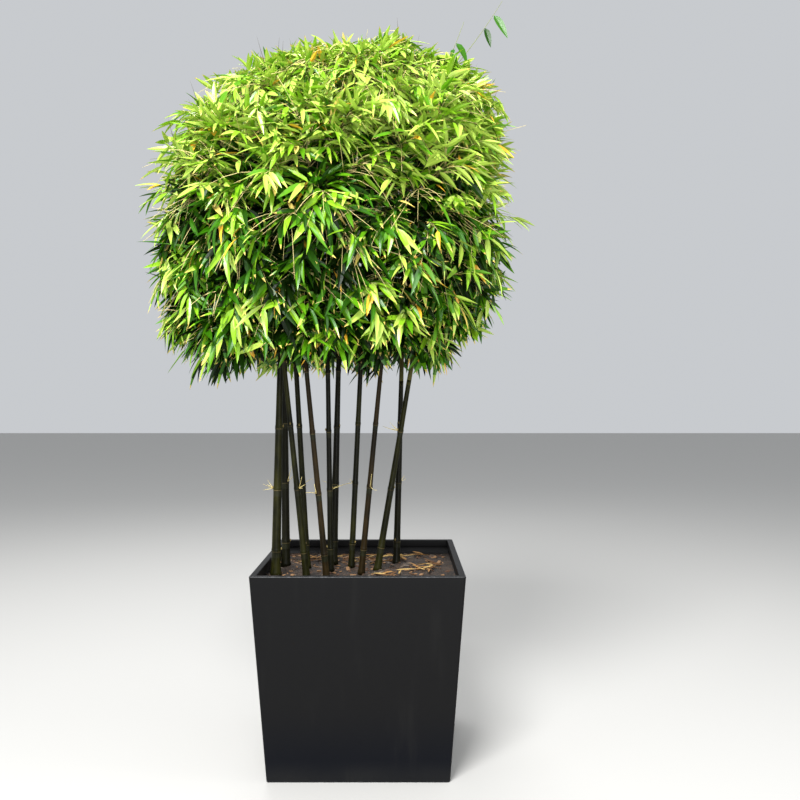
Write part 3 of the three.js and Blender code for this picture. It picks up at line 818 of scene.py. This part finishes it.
# Twigs
# Fine twigs, straw-coloured, green or brown, stand out from each branch on all sides and arch over. Most of
# them carry a hanging fan of leaves, and some are bare. They crowd into tufts, with dark hollows between.
TWIG_FOOT = 0.0013
TWIG_TIP = 0.0006
TUFT_WAVES = 24
TUFT_PITCH = (0.19, 0.19, 0.11)
TUFT_SWELL = 0.04
FAN_HEIGHT = 0.085
RAGGED = 0.120
TOP_START = 2.20
TOP_SPREAD = 0.12
STRAY_SHARE = 0.12
STRAY_REACH = 0.08
STRAY_TOP = 2.50
LOW_THINNING = 0.90
TWIG_LEAN = (0.25, 1.25)
TWIG_SINK = (0.3, 1.2)
CANDIDATES = 4
TIPS_COMPARED = 700
ANYWHERE = -9.0
# How many twigs a branch has, between which shares of its length, how short and how long they are, how far a
# tip sinks for its length, how near to the crown's surface it may come, how deep in a tuft it has to be, and
# how high the branch's own tip is at least.
TWIG_KINDS = {
    "outer": (32, (0.40, 1.0), (0.06, 0.24), 0.22, 0.86, -0.2, 0.0),
    "top": (18, (0.45, 1.0), (0.05, 0.16), 0.15, 0.88, -1.2, 2.3),
    "inner": (13, (0.05, 0.80), (0.06, 0.20), 0.20, 0.72, ANYWHERE, 0.0),
    "bare": (15, (0.45, 1.0), (0.10, 0.24), 0.45, 0.94, ANYWHERE, 0.0),
}

tuft_ways = unit(rng.normal(0, 1, (TUFT_WAVES, 3))) / TUFT_PITCH * 2 * np.pi
tuft_ways = tuft_ways * rng.uniform(0.7, 1.4, (TUFT_WAVES, 1))
tuft_shifts = rng.uniform(0, 2 * np.pi, TUFT_WAVES)


def tuft(points):
    """A smooth random value, about 1 in the middle of a tuft and -1 in the hollows between tufts."""
    return np.sin(points @ tuft_ways.T + tuft_shifts).sum(axis=-1) / math.sqrt(TUFT_WAVES / 2)


def crown_fill(points):
    """How near a point is to the crown's surface, also under its top: 1 is on it."""
    z = points[..., 2]
    across, deep, wave = crown_plan(points)
    tuck = crown_share(np.minimum(z, CROWN_WAIST)) * wave
    rise = np.clip(above_waist(z), 0, None)
    return np.sqrt((across**2 + deep**2) / tuck**2 + rise**DOME_POWER)


def crown_high(points):
    """How high a point is in the crown: 0 at the hem and 1 at the top."""
    return (points[..., 2] - CROWN_HEM) / (CROWN_TOP - CROWN_HEM)


def crown_low(points):
    """How far a point is below the crown's waist: 0 at the waist or above it and 1 at the hem."""
    return np.clip(below_waist(points[..., 2]), 0, 1)


def hangs_clear(points, reach, hem=CROWN_HEM):
    """Whether points keep within reach of the crown's surface, and above its hem and hollow underside."""
    fill = crown_fill(points)
    return (fill < reach) & (points[..., 2] > np.maximum(hem, underside(fill) + hem - CROWN_HEM))


def ragged(points):
    """How far the hem rises above its lowest sprays: up to RAGGED, in gaps between the tufts."""
    return RAGGED * np.clip(0.1 - tuft(points * [1.0, 1.0, 0.3]), 0, 1)


def spread_twigs(starts, ways, lengths, drop, reach, hollow):
    """A twig from each start, tried a few times and kept where its tip is far from those before it."""
    tips = np.full((len(starts), 3), 1e3)
    kept = []
    for k, (foot, way) in enumerate(zip(starts, ways)):
        side = unit(np.cross(way, UP))
        lift = np.cross(side, way)
        turn = rng.uniform(0, 2 * np.pi, CANDIDATES)[:, None]
        lean = rng.uniform(*TWIG_LEAN, CANDIDATES)[:, None]
        length = rng.uniform(*lengths, CANDIDATES)[:, None]
        sink = drop * length * rng.uniform(*TWIG_SINK, (CANDIDATES, 1))
        out = way * np.cos(lean) + (side * np.cos(turn) + lift * np.sin(turn) * 0.7) * np.sin(lean)
        end = foot + out * length - UP * sink
        swell = tuft(end)
        limit = reach + TUFT_SWELL * np.clip(swell, -1.5, 1.5)
        limit += TOP_SPREAD * np.clip(end[:, 2] - TOP_START, 0, 0.5)
        limit += STRAY_REACH * ((rng.random() < STRAY_SHARE) & (end[:, 2] < STRAY_TOP))
        good = hangs_clear(end, limit, CROWN_HEM + FAN_HEIGHT + ragged(end))
        good &= swell > hollow + LOW_THINNING * crown_low(end) + rng.normal(0, 0.25, CANDIDATES)
        if good.any():
            end = end[good]
            gap = np.linalg.norm(end[:, None] - tips[max(0, k - TIPS_COMPARED) : k + 1], axis=-1).min(axis=1)
            tips[k] = end[np.argmax(gap)]
            kept.append(k)
    return starts[kept], tips[kept]


def branch_twigs(count, along, lengths, drop, reach, hollow, lowest):
    """Feet and tips of one kind of twig on all branches that reach high enough."""
    chosen = branch_tips[:, 2] > lowest
    shape = (branch_starts[chosen], branch_tips[chosen], branch_arches[chosen])
    shares = np.sort(rng.uniform(*along, (chosen.sum(), count)), axis=1)
    feet = bow(*shape, shares)
    ways = unit(bow(*shape, shares + 0.01) - feet)
    return spread_twigs(feet.reshape(-1, 3), ways.reshape(-1, 3), lengths, drop, reach, hollow)


twigs = {kind: branch_twigs(*row) for kind, row in TWIG_KINDS.items()}
twig_feet, twig_ends = (np.vstack(pair) for pair in zip(twigs["outer"], twigs["top"]))
inner_feet, inner_ends = twigs["inner"]
bare_feet, bare_ends = twigs["bare"]
twig_arches = rng.uniform(0.02, 0.24, len(twig_ends))
inner_arches = rng.uniform(0.0, 0.15, len(inner_ends))
bare_arches = rng.uniform(0.0, 0.32, len(bare_ends))

# Rolled shoots: new leaves that are still furled stand up as dark, thin spikes along the top of the crown.
SHOOT_COUNT = 110
SHOOT_LOWEST = 2.25
SHOOT_FILL = 0.80
HEART = np.array([-0.12, CROWN_Y, 1.9])
shoot_places = np.flatnonzero((twig_ends[:, 2] > SHOOT_LOWEST) & (crown_fill(twig_ends) > SHOOT_FILL))
shoot_feet = twig_ends[rng.choice(shoot_places, SHOOT_COUNT)]
shoot_lean = unit(shoot_feet - HEART) * 0.6 + UP + rng.normal(0, 0.3, (SHOOT_COUNT, 3))
shoot_ends = shoot_feet + unit(shoot_lean) * rng.uniform(0.045, 0.105, (SHOOT_COUNT, 1))

# The whip: one long shoot of new growth bends up out of the crown's right shoulder and ends in a furled leaf.
# A shorter one stands beside it. Each has its foot, its tip and its arch.
whip_foot = next(culm for culm in culms if culm.name == "top_right").line.at(0.97)
WHIP = (whip_foot, (0.552, -0.020, 2.935), -0.16)
SHORT_WHIP = ((0.295, -0.060, 2.600), (0.398, -0.060, 2.835), -0.1)
WHIP_STEPS = np.linspace(0, 1, 24)

TWIG_STEPS = np.linspace(0, 1, 5)
TWIG_SHADES = (("straw", (232, 213, 142)), ("green", (112, 122, 50)), ("brown", (66, 58, 32)))
STRAW_TWIG, GREEN_TWIG, BROWN_TWIG = range(3)
twig_finishes = dry_finishes("twig_", TWIG_SHADES, 0.6, 0.5, 90.0)


def twig_lines(feet, ends, arches):
    return bow(feet, ends, arches, np.broadcast_to(TWIG_STEPS, (len(ends), len(TWIG_STEPS))))


def twig_piece(name, bunches):
    """One piece from bunches of tapering twigs: lines, radius at foot and tip, looks and number of sides."""
    shapes, faces = [], []
    for lines, foot, tip, looks, sides in bunches:
        steps = lines.shape[1]
        radii = np.broadcast_to(foot + (tip - foot) * np.linspace(0, 1, steps), lines.shape[:2])
        looks = np.broadcast_to(looks, len(lines))
        shapes.append(sweep(lines, radii, sides))
        faces.append((np.repeat(looks, (steps - 1) * sides), np.tile(looks, 2)))
    return make_piece(name, *join(shapes, faces), twig_finishes)


outer_looks = rng.choice(3, len(twig_ends), p=(0.45, 0.35, 0.2))
inner_looks = rng.choice(3, len(inner_ends), p=(0.3, 0.3, 0.4))
bare_looks = rng.choice(3, len(bare_ends), p=(0.8, 0.13, 0.07))
outer_lines = twig_lines(twig_feet, twig_ends, twig_arches)
inner_lines = twig_lines(inner_feet, inner_ends, inner_arches)
bare_lines = twig_lines(bare_feet, bare_ends, bare_arches)
shoot_lines = twig_lines(shoot_feet, shoot_ends, rng.uniform(-0.1, 0.1, SHOOT_COUNT))
leafy_bunches = [
    (outer_lines, TWIG_FOOT, TWIG_TIP, outer_looks, 3),
    (inner_lines, TWIG_FOOT, TWIG_TIP, inner_looks, 3),
]
bare_bunches = [
    (bare_lines, TWIG_FOOT, TWIG_TIP, bare_looks, 3),
    (shoot_lines, 0.0014, 0.0002, BROWN_TWIG, 3),
    (np.array(straw_lines), 0.0016, TWIG_TIP, STRAW_TWIG, 3),
    (bow(*WHIP, WHIP_STEPS)[None], 0.0026, TWIG_TIP, GREEN_TWIG, 6),
    (bow(*SHORT_WHIP, WHIP_STEPS)[None], 0.0018, TWIG_TIP, GREEN_TWIG, 5),
]
twig_piece("twigs", leafy_bunches)
twig_piece("bare_twigs", bare_bunches)


# Leaves
# Narrow, pointed blades, about 70 mm long at the crown's top and 130 mm at its hem, folded along the rib.
# They hang from the twigs in fans, and many tips have dried. The fans are yellow-green outside and deeper
# green inside, which is painted light and painted shade.
LEAF_LENGTH = 0.102
LEAF_WIDTH = 0.0172
LEAF_SHARES = np.array([0.045, 0.18, 0.40, 0.66, 0.86])
LEAF_WIDTHS = np.array([0.10, 0.84, 1.0, 0.74, 0.36])
LEAVES_PER_TWIG = 6
FAN_SPREAD = 0.48
FAN_WIDENING = 0.16
HEM_GROWTH = 1.30
TOP_LOSS = 0.60
TOP_WIDENING = 0.32
UPRIGHT_FROM = 2.45
UPRIGHT_SHARE = 0.35
UPRIGHT_LIFT = 1.0


def blades(root, ahead, face, length, width, bend, twist, fold):
    """Folded, curling blades of 24 points each, in two halves that have their own points at the rib."""
    side = unit(np.cross(face, ahead))
    face = np.cross(ahead, side)
    s = LEAF_SHARES[None, :, None]
    size, curl = length[:, None, None], bend[:, None, None]
    rib = root[:, None] + size * (s * ahead[:, None] - curl * s**2 * face[:, None])
    turn = twist[:, None, None] * s
    over = side[:, None] * np.cos(turn) + face[:, None] * np.sin(turn)
    lift = face[:, None] * np.cos(turn) - side[:, None] * np.sin(turn) + 2 * curl * s * ahead[:, None]
    half = (width[:, None] * LEAF_WIDTHS / 2)[..., None]
    raised = fold[:, None, None]
    tip = (root + length[:, None] * (ahead - bend[:, None] * face))[:, None]
    halves = []
    for hand in (-1, 1):
        edge = rib + half * (hand * over * np.cos(raised) + lift * np.sin(raised))
        halves += [root[:, None], np.stack([rib, edge], axis=2).reshape(len(root), -1, 3), tip]
    return np.concatenate(halves, axis=1)


def blade_piece(name, shape, body, last, tip, finishes):
    """A piece of blades, with the finishes of each blade's body, of its last stretch and of its tip."""
    count = 2 * len(LEAF_SHARES) + 2
    first = count * np.arange(2 * len(body))[:, None]
    near, far = np.array([[0, 1, 2]]), np.array([[count - 1, count - 2, count - 3]])
    quad = np.array([(k, k + 2, k + 3, k + 1) for k in range(1, count - 3, 2)])
    triangles = np.stack([near + first, far + first], axis=1)
    quads = quad[None] + first[:, :, None]
    triangles[0::2] = triangles[0::2, :, ::-1]
    quads[0::2] = quads[0::2, :, ::-1]
    body, last, tip = (np.repeat(tint, 2) for tint in (body, last, tip))
    groups = [
        (triangles.reshape(-1, 3), np.stack([body, tip], axis=1).ravel()),
        (quads.reshape(-1, 4), np.stack([body, body, body, last], axis=1).ravel()),
    ]
    return make_piece(name, blades(*shape), groups, finishes)


# Name, colour and gloss of the tints. The first six run from the lightest green to the darkest: one leaf
# green in lit and shaded copies, as painted light and painted shade, and the lightest also stands for young
# leaves. Gold and straw are dry leaves.
LEAF_TINTS = [
    ("lit_young", (168, 197, 78), 0.5),
    ("bright", (126, 174, 30), 0.5),
    ("grass", (80, 135, 9), 0.45),
    ("middle", (46, 98, 4), 0.35),
    ("deep", (27, 63, 3), 0.22),
    ("shade", (11, 29, 2), 0.12),
    ("gold", (234, 180, 52), 0.4),
    ("straw", (212, 190, 98), 0.4),
]
leaf_finishes = []
for leaf_name, leaf_tone, leaf_gloss in LEAF_TINTS:
    leaf_finish = Finish("leaf_" + leaf_name, tone(*leaf_tone), 0.4, specular=leaf_gloss)
    leaf_cloud = leaf_finish.grain(70.0, 2.0)
    leaf_finish.set("Roughness", 0.24 + leaf_cloud * 0.2)
    leaf_finish.relief(leaf_finish.grain(380.0, 2.0), 0.0006, 0.5)
    leaf_finishes.append(leaf_finish)
SHADE, GOLD, STRAW = 5, 6, 7


def leaf_fans(feet, ends, arches, first, spacing):
    """A fan on each twig: one leaf at its tip, and the others to both sides behind it, wider and wider."""
    shape = (len(ends), LEAVES_PER_TWIG)
    order = np.arange(LEAVES_PER_TWIG)
    reach = np.linalg.norm(ends - feet, axis=1)[:, None]
    back = np.where(order == 0, 0.001, first + spacing * (order - 1)) + rng.normal(0, 0.002, shape)
    shares = np.clip(1 - back / reach, 0.0, 1.0)
    root = bow(feet, ends, arches, shares)
    ahead = unit(bow(feet, ends, arches, shares + 0.01) - root)
    level = unit(np.cross(ahead, UP) + 1e-6)
    above = np.cross(level, ahead)
    roll = rng.normal(0, 0.4, (len(ends), 1, 1))
    across = level * np.cos(roll) + above * np.sin(roll)
    flat = np.cross(across, ahead)
    hand = np.where(order % 2 == 0, 1.0, -1.0)
    spread = np.where(order == 0, 0.0, hand * (FAN_SPREAD + FAN_WIDENING * order)) + rng.normal(0, 0.2, shape)
    hang = rng.uniform(-0.1, 0.45, (len(ends), 1)) + rng.uniform(0.0, 0.25, shape)
    hang += 0.25 * crown_low(ends)[:, None]
    upright = (ends[:, 2] > UPRIGHT_FROM) & (rng.random(len(ends)) < UPRIGHT_SHARE)
    hang = np.where(upright[:, None], hang - UPRIGHT_LIFT, hang)
    way = ahead * np.cos(spread)[..., None] + across * np.sin(spread)[..., None] - UP * hang[..., None]
    way = unit(way + rng.normal(0, 0.1, way.shape))
    # Leaves face out and up. Towards the top they are shorter and broader, and face more ways.
    high = crown_high(root)
    face = flat + 0.35 * unit(root - HEART) + UP * 0.25
    face = face + rng.normal(0, 1, way.shape) * (0.24 + 0.22 * high[..., None])
    face = unit(face - way * np.sum(face * way, axis=-1, keepdims=True))
    grown = (HEM_GROWTH - TOP_LOSS * high) * rng.uniform(0.88, 1.12, (len(ends), 1))
    length = LEAF_LENGTH * grown * rng.uniform(0.78, 1.15, shape) * (1 - 0.02 * order)
    width = LEAF_WIDTH * grown * (1 + TOP_WIDENING * high) * rng.uniform(0.75, 1.15, shape)
    return [part.reshape(order.size * len(ends), -1).squeeze() for part in (root, way, face, length, width)]


outer_fans = leaf_fans(twig_feet, twig_ends, twig_arches, 0.008, 0.015)
inner_fans = leaf_fans(inner_feet, inner_ends, inner_arches, 0.010, 0.020)
leaf_parts = [np.concatenate(pair) for pair in zip(outer_fans, inner_fans)]
spray_place = np.vstack([twig_ends, inner_ends])
spray = np.repeat(np.arange(len(spray_place)), LEAVES_PER_TWIG)

# A blade that would hang out of the crown is left off. Each spray has its own reach.
REACH_MIDDLE = 1.02
REACH_LIMITS = (0.95, 1.09)
REACH_PAST_SPRAY = 0.15
REACH_MOST = 1.12
leaf_end = leaf_parts[0] + leaf_parts[1] * leaf_parts[3][:, None]
spray_reach = np.clip(rng.normal(REACH_MIDDLE, 0.035, len(spray_place)), *REACH_LIMITS)
spray_reach = np.minimum(np.maximum(spray_reach, crown_fill(spray_place) + REACH_PAST_SPRAY), REACH_MOST)
leaf_kept = hangs_clear(leaf_end, spray_reach[spray], CROWN_HEM - 0.01 + ragged(leaf_end))
leaf_parts = [part[leaf_kept] for part in leaf_parts]
spray = spray[leaf_kept]
leaf_total = len(spray)
leaf_bend = rng.uniform(0.02, 0.24, leaf_total)
leaf_twist = rng.normal(0, 0.45, leaf_total)
leaf_fold = rng.uniform(0.18, 0.5, leaf_total)
leaf_parts += [leaf_bend, leaf_twist, leaf_fold]

# A fan's tint is painted light and painted shade: fans near the crown's surface, in tufts, high up or at the
# hem take lighter tints, and fans deeper inside take darker ones. Some blades in a fan differ. A few are
# golden or straw all over, and more have a dry tip.
SURFACE_LIGHT = 12.0
SURFACE_MIDDLE = 0.905
SURFACE_END = 0.98
TUFT_LIGHT = 0.4
TOP_LIGHT = 7.6
TOP_LIGHT_FROM = 0.38
HEM_LIGHT = 2.0
LIGHT_STEPS = [-1.25, -0.75, -0.25, 0.25, 0.8]
GOLD_SHARE = 0.012
STRAW_SHARE = 0.008
DRY_TIP_SHARE = 0.32
spray_out = np.minimum(crown_fill(spray_place), SURFACE_END) - SURFACE_MIDDLE
spray_painted_light = SURFACE_LIGHT * spray_out + TUFT_LIGHT * tuft(spray_place)
top_painted_light = TOP_LIGHT * np.clip(crown_high(spray_place) - TOP_LIGHT_FROM, 0, 1)
spray_painted_light += top_painted_light + HEM_LIGHT * crown_low(spray_place) ** 2
spray_painted_light = spray_painted_light + rng.normal(0, 0.45, len(spray_place))
spray_painted_tint = np.digitize(-spray_painted_light, LIGHT_STEPS)
leaf_change = rng.choice([-2, -1, 0, 1, 2], leaf_total, p=(0.07, 0.21, 0.44, 0.21, 0.07))
leaf_tint = np.clip(spray_painted_tint[spray] + leaf_change, 0, SHADE)
leaf_tint = np.where(rng.random(leaf_total) < GOLD_SHARE, GOLD, leaf_tint)
leaf_tint = np.where(rng.random(leaf_total) < STRAW_SHARE, STRAW, leaf_tint)
dry_tip = rng.random(leaf_total) < DRY_TIP_SHARE
tip_tint = np.where(dry_tip, STRAW, leaf_tint)
end_tint = np.where(dry_tip & (leaf_tint < GOLD), np.maximum(leaf_tint - 2, 0), leaf_tint)
leaf_tints = [leaf_tint, end_tint, tip_tint]

# Two leaves hang from the whip and two from the shorter shoot: the shoot, the place along it, way, face,
# length, width, bend, twist, fold and tint.
WHIP_LEAVES = [
    (WHIP, 0.84, (0.28, -0.1, -0.95), (0.30, -0.90, 0.15), 0.085, 0.029, 0.05, 0.3, 0.35, 4),
    (WHIP, 0.92, (0.50, -0.2, -0.87), (0.25, -0.9, 0.25), 0.115, 0.036, 0.08, 0.2, 0.35, 3),
    (SHORT_WHIP, 0.70, (0.52, -0.15, -0.8), (0.3, -0.85, 0.3), 0.095, 0.036, 0.25, -0.3, 0.35, 3),
    (SHORT_WHIP, 0.60, (-0.15, -0.5, -0.8), (-0.2, -0.8, 0.4), 0.050, 0.020, 0.1, 0.2, 0.35, 3),
]
for shoot, place, way, *rest, tint in WHIP_LEAVES:
    leaf = [bow(*shoot, [place])[0], unit(np.array(way)), *rest]
    leaf_parts = [np.concatenate([part, [value]]) for part, value in zip(leaf_parts, leaf)]
    leaf_tints = [np.append(tints, tint) for tints in leaf_tints]

# The leaves are joined into pieces by the side of the crown that they hang on.
SPLIT_HEIGHT = 2.3
# Upper or lower, the angle at which the piece starts, the angle that it takes up, and the masses it replaces.
LEAF_PIECES = {
    "leaves_left": (False, 112, 135, ["foliage_left", "foliage_back_left", "foliage_front_left"]),
    "leaves_front": (False, 247, 91, ["foliage_front", "foliage_front_right"]),
    "leaves_right": (False, 338, 134, ["foliage_back", "foliage_back_right", "foliage_right"]),
    "leaves_top_left": (True, 112, 135, ["foliage_top_left"]),
    "leaves_top_front": (True, 247, 91, ["foliage_top_front"]),
    "leaves_top_right": (True, 338, 134, ["foliage_top_right"]),
}
leaf_root = leaf_parts[0]
leaf_x, leaf_y = crown_axis(leaf_root[:, 2])
leaf_turn = np.degrees(np.arctan2(leaf_root[:, 1] - leaf_y, leaf_root[:, 0] - leaf_x)) % 360
for piece_name, (upper, first, turn, masses) in LEAF_PIECES.items():
    chosen = ((leaf_root[:, 2] > SPLIT_HEIGHT) == upper) & ((leaf_turn - first) % 360 < turn)
    tints = (tint[chosen] for tint in leaf_tints)
    leaves = blade_piece(piece_name, [part[chosen] for part in leaf_parts], *tints, leaf_finishes)
    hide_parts(*masses)


# Fallen leaves
# Dry leaves that the bamboo has shed lie on the soil between the canes, curled and faded to straw and brown.
# They are the same narrow blades, loose, and none of them lies against a cane or the wall.
FALLEN_COUNT = 130
FALLEN_ROOM = 0.062
FALLEN_SHADES = (("straw", (176, 148, 92)), ("tan", (140, 104, 60)), ("brown", (92, 64, 38)))
fallen_xy = rng.uniform(-soil_half + 0.06, soil_half - 0.06, (FALLEN_COUNT, 2))
fallen_turn = rng.uniform(0, 2 * np.pi, FALLEN_COUNT)
fallen_rise = rng.uniform(-0.02, 0.08, FALLEN_COUNT)
fallen_way = np.column_stack([np.cos(fallen_turn), np.sin(fallen_turn), fallen_rise])
fallen_middle = fallen_xy + 0.045 * fallen_way[:, :2]
feet = np.array([culm.line.at(0.0)[:2] for culm in culms])
clear = np.linalg.norm(fallen_middle[:, None] - feet, axis=-1).min(axis=1) > FALLEN_ROOM
clear &= np.abs(fallen_middle).max(axis=1) < soil_half - 0.055
fallen_z = soil_height(*fallen_xy.T) + rng.uniform(0.006, 0.012, FALLEN_COUNT)
fallen_root = np.column_stack([fallen_xy, fallen_z])
fallen_face = unit(UP + rng.normal(0, 0.18, (FALLEN_COUNT, 3)))
fallen_length = rng.uniform(0.06, 0.10, FALLEN_COUNT)
fallen_width = rng.uniform(0.009, 0.015, FALLEN_COUNT)
fallen_bend = rng.uniform(-0.05, 0.10, FALLEN_COUNT)
fallen_twist = rng.normal(0, 0.6, FALLEN_COUNT)
fallen_fold = rng.uniform(0.2, 0.7, FALLEN_COUNT)
fallen_shape = [fallen_root, unit(fallen_way), unit(fallen_face), fallen_length, fallen_width]
fallen_shape = [part[clear] for part in (*fallen_shape, fallen_bend, fallen_twist, fallen_fold)]
fallen_look = rng.integers(0, len(FALLEN_SHADES), clear.sum())
fallen_finishes = dry_finishes("fallen_", FALLEN_SHADES, 0.8, 0.7, 120.0, specular=0.2)
fallen = blade_piece("fallen_leaves", fallen_shape, fallen_look, fallen_look, fallen_look, fallen_finishes)
